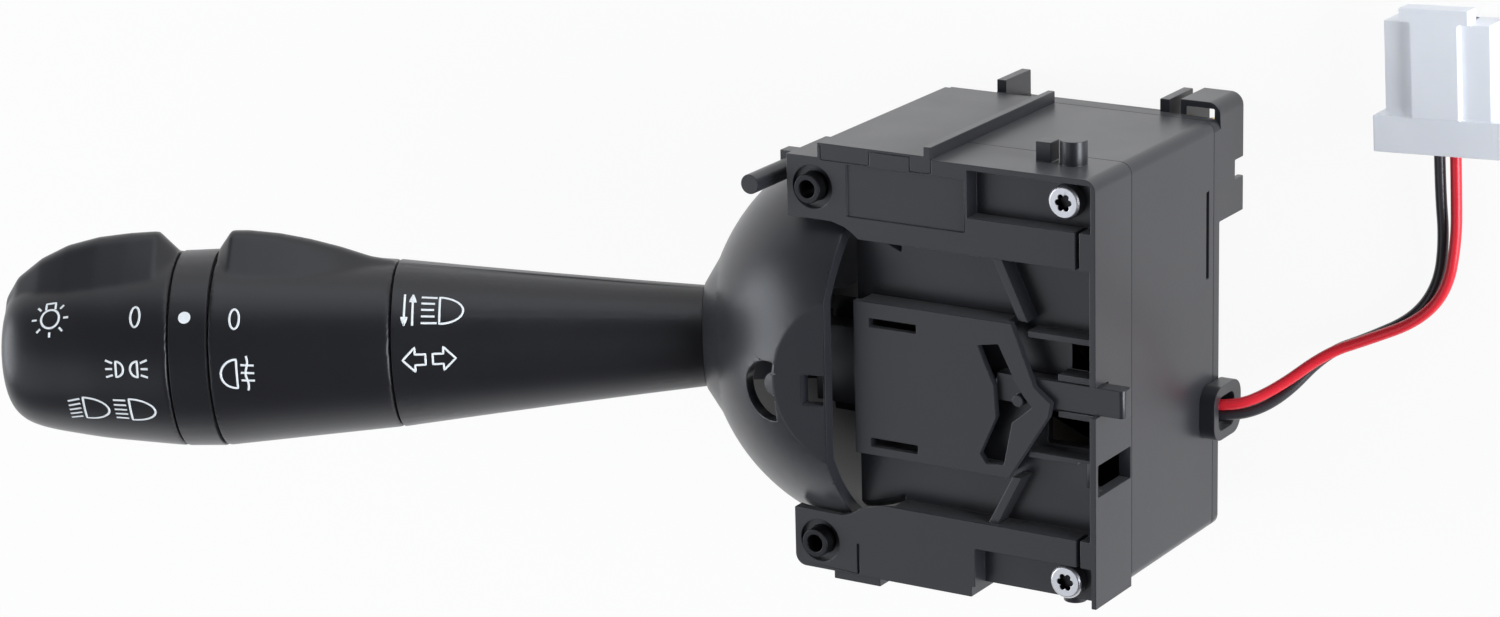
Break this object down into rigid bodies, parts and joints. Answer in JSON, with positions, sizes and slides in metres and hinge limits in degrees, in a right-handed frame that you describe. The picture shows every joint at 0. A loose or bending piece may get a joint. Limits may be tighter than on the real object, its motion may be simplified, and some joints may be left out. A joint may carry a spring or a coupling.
{
  "type": "combination stalk switch",
  "caption": "Lever switch for a steering column: a tapered stalk with a turning end knob and a turning ring, a ball-shaped root shroud, a box housing and a two-wire lead.",
  "frame": {"origin": "midway between the two mounting sleeves, in the plane of their ends, where they seat on the column bracket", "axes": "+Z points out of the front face at the driver, +Y runs up the face from the lower sleeve to the upper one, +X runs to the right, away from the lever"},
  "size_m": [0.2147, 0.0872, 0.0984],
  "materials": {
    "black_plastic": "fine grain, satin",
    "stalk_plastic": "smooth, satin",
    "inner_plastic": "smooth",
    "clip_plastic": "smooth",
    "board": "laminated board",
    "contact_brass": "plain",
    "screw_steel": "zinc plated",
    "sleeve_steel": "blackened",
    "pin_steel": "ground",
    "spring_steel": "drawn wire",
    "red_insulation": "smooth",
    "black_insulation": "smooth",
    "plug_plastic": "natural white"
  },
  "bodies": {
    "housing": {"front_housing": "black_plastic", "rear_housing": "black_plastic", "top_cover": "black_plastic", "rear_cover": "black_plastic", "wire_clip": "clip_plastic", "main_blades": "contact_brass", "side_blades": "contact_brass", "housing_screws": "screw_steel", "mounting_sleeves": "sleeve_steel", "contact_base": "board", "contact_tracks": "contact_brass", "detent_cam": "inner_plastic", "dip_board": "board", "dip_tracks": "contact_brass", "guide_plate": "black_plastic", "cancel_spring": "spring_steel", "red_wire": "red_insulation", "black_wire": "black_insulation", "plug_housing": "plug_plastic", "plug_contacts": "contact_brass"},
    "yoke": {"yoke": "inner_plastic", "lever_pin": "pin_steel", "detent_spring": "spring_steel", "dip_spring": "spring_steel"},
    "lever": {"lever_hub": "inner_plastic", "dome_shroud": "black_plastic", "stalk_tube": "stalk_plastic", "core_tube": "inner_plastic", "core_bush": "inner_plastic", "index_collar": "stalk_plastic", "knob_contact_plate": "contact_brass", "fog_contact_plate": "contact_brass"},
    "knob": {"light_knob": "stalk_plastic", "knob_rod": "inner_plastic", "knob_wiper": "contact_brass"},
    "ring": {"fog_ring": "stalk_plastic", "fog_sleeve": "inner_plastic", "fog_wiper": "contact_brass"},
    "turn_slider": {"turn_slider": "inner_plastic", "turn_wipers": "contact_brass"},
    "dip_slider": {"dip_slider": "inner_plastic", "dip_wiper": "contact_brass"},
    "finger": {"cancel_finger": "inner_plastic"},
    "plunger": {"detent_plunger": "pin_steel"}
  },
  "joints": [
    {"name": "turn_signal", "type": "hinge", "parent": "housing", "child": "yoke", "pos_m": [0.0026, -0.0006, -0.0251], "axis": [0, 0, 1], "range_deg": [-12, 12]},
    {"name": "dip_flash", "type": "hinge", "parent": "yoke", "child": "lever", "pos_m": [0.0026, -0.0006, -0.0251], "axis": [0, 1, 0], "range_deg": [0, 8], "deforming": ["dip_spring"]},
    {"name": "light_knob_turn", "type": "hinge", "parent": "lever", "child": "knob", "pos_m": [-0.09618, -0.00279, 0.02764], "axis": [-0.882, -0.0195, 0.4709], "range_deg": [0, 60]},
    {"name": "fog_ring_turn", "type": "hinge", "parent": "lever", "child": "ring", "pos_m": [-0.07854, -0.0024, 0.01823], "axis": [-0.882, -0.0195, 0.4709], "range_deg": [0, 30]},
    {"name": "turn_slide", "type": "slide", "parent": "housing", "child": "turn_slider", "axis": [0, 1, 0], "range_m": [-0.00275, 0.00275]},
    {"name": "dip_slide", "type": "slide", "parent": "housing", "child": "dip_slider", "axis": [0, 0, -1], "range_m": [0, 0.00197]},
    {"name": "cancel_slide", "type": "slide", "parent": "housing", "child": "finger", "axis": [1, 0, 0], "range_m": [-0.002, 0], "stiffness_N_per_m": 120, "springref_m": 0.002, "deforming": ["cancel_spring"]},
    {"name": "detent_slide", "type": "slide", "parent": "yoke", "child": "plunger", "axis": [1, 0, 0], "range_m": [-0.0003, 0], "stiffness_N_per_m": 200, "springref_m": 0.001, "deforming": ["detent_spring"]}
  ],
  "couplings": [
    {"joint": "turn_slide", "follows": "turn_signal", "m_per_rad": 0.013},
    {"joint": "dip_slide", "follows": "dip_flash", "m_per_rad": 0.014}
  ]
}
